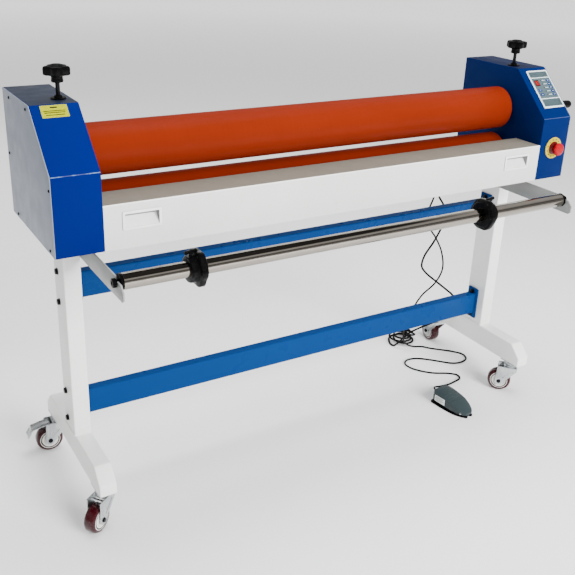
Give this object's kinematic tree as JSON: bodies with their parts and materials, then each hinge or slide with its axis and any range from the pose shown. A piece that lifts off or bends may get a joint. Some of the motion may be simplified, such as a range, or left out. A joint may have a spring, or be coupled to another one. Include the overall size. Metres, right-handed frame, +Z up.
{
  "type": "cold roll laminator",
  "caption": "Wheeled-stand roll laminator with two wide silicone rollers, side housings, feed table, supply shaft with core stoppers, hand crank and foot switch.",
  "frame": {"origin": "middle of the bounding box on the floor, without the cords and plug", "axes": "+X along the rollers to the operator's right, +Y from the operator's side to the rear, +Z up"},
  "size_m": [1.6824, 0.686, 1.127],
  "materials": {
    "light_grey_paint": "smooth satin powder coat",
    "beam_blue_paint": "satin powder coat",
    "blue_paint": "fine-texture satin powder coat",
    "grey_paint": "fine-texture satin powder coat",
    "white_paint": "smooth satin powder coat",
    "white_plastic": "fine matte moulding",
    "silicone": "ground silicone rubber, satin",
    "steel": "machined",
    "dark_steel": "oiled steel",
    "chrome_tube": "bright plated",
    "zinc": "bright zinc plated",
    "polyurethane": "glossy cast polyurethane",
    "black_plastic": "fine matte moulding",
    "black_paint": "semi-gloss enamel",
    "panel_film": "printed polyester film, satin",
    "yellow_plastic": "smooth moulding",
    "red_plastic": "glossy moulding",
    "switch_grey_paint": "hammered enamel",
    "cord_black": "smooth matte jacket"
  },
  "bodies": {
    "stand": {"left_leg_post": "light_grey_paint", "right_leg_post": "light_grey_paint", "left_foot_beam": "light_grey_paint", "right_foot_beam": "light_grey_paint", "upper_cross_beam": "beam_blue_paint", "lower_cross_beam": "beam_blue_paint", "left_shaft_arm": "light_grey_paint", "right_shaft_arm": "light_grey_paint", "left_frame_plate": "dark_steel", "right_frame_plate": "dark_steel", "left_housing": "blue_paint", "right_housing": "blue_paint", "left_outer_cover": "grey_paint", "right_outer_cover": "grey_paint", "left_flange_bearing": "steel", "right_flange_bearing": "steel", "gearmotor": "black_paint", "drive_chain": "dark_steel", "control_panel": "panel_film", "estop_base": "yellow_plastic", "cord_gland": "black_plastic", "foot_switch_base": "black_plastic", "pedal_cord": "cord_black", "power_cord": "cord_black", "power_cord_coil": "cord_black", "power_plug": "cord_black", "front_left_caster_plate": "zinc", "front_right_caster_plate": "zinc", "rear_left_caster_plate": "zinc", "rear_right_caster_plate": "zinc"},
    "feed_table": {"feed_table": "white_paint", "left_table_pull": "white_plastic", "right_table_pull": "white_plastic"},
    "bearing_blocks": {"left_bearing_block": "steel", "right_bearing_block": "steel"},
    "upper_roller": {"upper_roller_sleeve": "silicone", "upper_roller_core": "steel"},
    "left_knob": {"left_pressure_knob": "black_plastic"},
    "right_knob": {"right_pressure_knob": "black_plastic"},
    "lower_roller": {"lower_roller_sleeve": "silicone", "lower_roller_core": "steel", "roller_sprocket": "dark_steel", "crank_arm": "zinc"},
    "motor_sprocket": {"motor_sprocket": "dark_steel"},
    "crank_grip": {"crank_grip": "black_plastic"},
    "estop_head": {"estop_head": "red_plastic"},
    "supply_shaft": {"supply_shaft": "chrome_tube"},
    "left_stopper": {"left_core_stopper": "black_plastic"},
    "right_stopper": {"right_core_stopper": "black_plastic"},
    "foot_pedal": {"foot_switch_pedal": "switch_grey_paint"},
    "front_left_fork": {"front_left_caster_fork": "zinc"},
    "front_left_wheel": {"front_left_caster_wheel": "polyurethane"},
    "front_right_fork": {"front_right_caster_fork": "zinc"},
    "front_right_wheel": {"front_right_caster_wheel": "polyurethane"},
    "rear_left_fork": {"rear_left_caster_fork": "zinc"},
    "rear_left_wheel": {"rear_left_caster_wheel": "polyurethane"},
    "rear_left_brake": {"rear_left_brake_pedal": "zinc"},
    "rear_right_fork": {"rear_right_caster_fork": "zinc"},
    "rear_right_wheel": {"rear_right_caster_wheel": "polyurethane"},
    "rear_right_brake": {"rear_right_brake_pedal": "zinc"}
  },
  "joints": [
    {"name": "upper_roller_lift", "type": "slide", "parent": "stand", "child": "bearing_blocks", "axis": [0, 0, 1], "range_m": [-0.0155, 0.012]},
    {"name": "upper_roller_spin", "type": "hinge", "parent": "bearing_blocks", "child": "upper_roller", "pos_m": [-0.0416, 0.0131, 0.928], "axis": [1, 0, 0], "continuous": true},
    {"name": "left_knob_turn", "type": "hinge", "parent": "bearing_blocks", "child": "left_knob", "pos_m": [-0.7416, 0.0131, 1.1], "axis": [0, 0, 1], "range_deg": [-1861, 1441]},
    {"name": "right_knob_turn", "type": "hinge", "parent": "bearing_blocks", "child": "right_knob", "pos_m": [0.6584, 0.0131, 1.1], "axis": [0, 0, 1], "range_deg": [-1861, 1441]},
    {"name": "lower_roller_spin", "type": "hinge", "parent": "stand", "child": "lower_roller", "pos_m": [-0.0416, 0.0131, 0.787], "axis": [1, 0, 0], "continuous": true},
    {"name": "motor_sprocket_spin", "type": "hinge", "parent": "stand", "child": "motor_sprocket", "pos_m": [0.6904, 0.1181, 0.787], "axis": [1, 0, 0], "continuous": true},
    {"name": "crank_grip_spin", "type": "hinge", "parent": "lower_roller", "child": "crank_grip", "pos_m": [0.7984, -0.0679, 0.936], "axis": [1, 0, 0], "continuous": true},
    {"name": "estop_press", "type": "slide", "parent": "stand", "child": "estop_head", "axis": [0, 1, 0], "range_m": [0, 0.004], "stiffness_N_per_m": 1500, "springref_m": -0.002},
    {"name": "feed_table_lift", "type": "slide", "parent": "stand", "child": "feed_table", "axis": [0, 0, 1], "range_m": [0, 0.04]},
    {"name": "supply_shaft_spin", "type": "hinge", "parent": "stand", "child": "supply_shaft", "pos_m": [-0.0416, -0.2669, 0.7095], "axis": [1, 0, 0], "continuous": true},
    {"name": "left_stopper_slide", "type": "slide", "parent": "supply_shaft", "child": "left_stopper", "axis": [1, 0, 0], "range_m": [-0.13, 0.4]},
    {"name": "right_stopper_slide", "type": "slide", "parent": "supply_shaft", "child": "right_stopper", "axis": [1, 0, 0], "range_m": [-0.4, 0.25]},
    {"name": "front_left_swivel", "type": "hinge", "parent": "stand", "child": "front_left_fork", "pos_m": [-0.7466, -0.1599, 0.09], "axis": [0, 0, 1], "continuous": true},
    {"name": "front_left_wheel_spin", "type": "hinge", "parent": "front_left_fork", "child": "front_left_wheel", "pos_m": [-0.77249, -0.17871, 0.0375], "axis": [0.5878, -0.809, 0], "continuous": true},
    {"name": "front_right_swivel", "type": "hinge", "parent": "stand", "child": "front_right_fork", "pos_m": [0.6634, -0.1599, 0.09], "axis": [0, 0, 1], "continuous": true},
    {"name": "front_right_wheel_spin", "type": "hinge", "parent": "front_right_fork", "child": "front_right_wheel", "pos_m": [0.64241, -0.13575, 0.0375], "axis": [-0.7547, -0.6561, 0], "continuous": true},
    {"name": "rear_left_swivel", "type": "hinge", "parent": "stand", "child": "rear_left_fork", "pos_m": [-0.7466, 0.2171, 0.09], "axis": [0, 0, 1], "continuous": true},
    {"name": "rear_left_wheel_spin", "type": "hinge", "parent": "rear_left_fork", "child": "rear_left_wheel", "pos_m": [-0.77852, 0.21933, 0.0375], "axis": [-0.0698, -0.9976, 0], "continuous": true},
    {"name": "rear_left_brake_press", "type": "hinge", "parent": "rear_left_fork", "child": "rear_left_brake", "pos_m": [-0.77802, 0.2193, 0.086], "axis": [-0.0698, -0.9976, 0], "range_deg": [-2, 12]},
    {"name": "rear_right_swivel", "type": "hinge", "parent": "stand", "child": "rear_right_fork", "pos_m": [0.6634, 0.2171, 0.09], "axis": [0, 0, 1], "continuous": true},
    {"name": "rear_right_wheel_spin", "type": "hinge", "parent": "rear_right_fork", "child": "rear_right_wheel", "pos_m": [0.66619, 0.24898, 0.0375], "axis": [-0.9962, 0.0872, 0], "continuous": true},
    {"name": "rear_right_brake_press", "type": "hinge", "parent": "rear_right_fork", "child": "rear_right_brake", "pos_m": [0.66615, 0.24848, 0.086], "axis": [-0.9962, 0.0872, 0], "range_deg": [-2, 12]},
    {"name": "foot_pedal_press", "type": "hinge", "parent": "stand", "child": "foot_pedal", "pos_m": [0.42908, -0.22393, 0.012], "axis": [0.9925, 0.1219, 0], "range_deg": [-3, 0], "stiffness_Nm_per_rad": 6, "springref_deg": 4.58}
  ],
  "couplings": [
    {"joint": "left_knob_turn", "follows": "upper_roller_lift", "rad_per_m": 2094.4},
    {"joint": "right_knob_turn", "follows": "upper_roller_lift", "rad_per_m": 2094.4},
    {"joint": "motor_sprocket_spin", "follows": "lower_roller_spin", "ratio": 1.5}
  ]
}
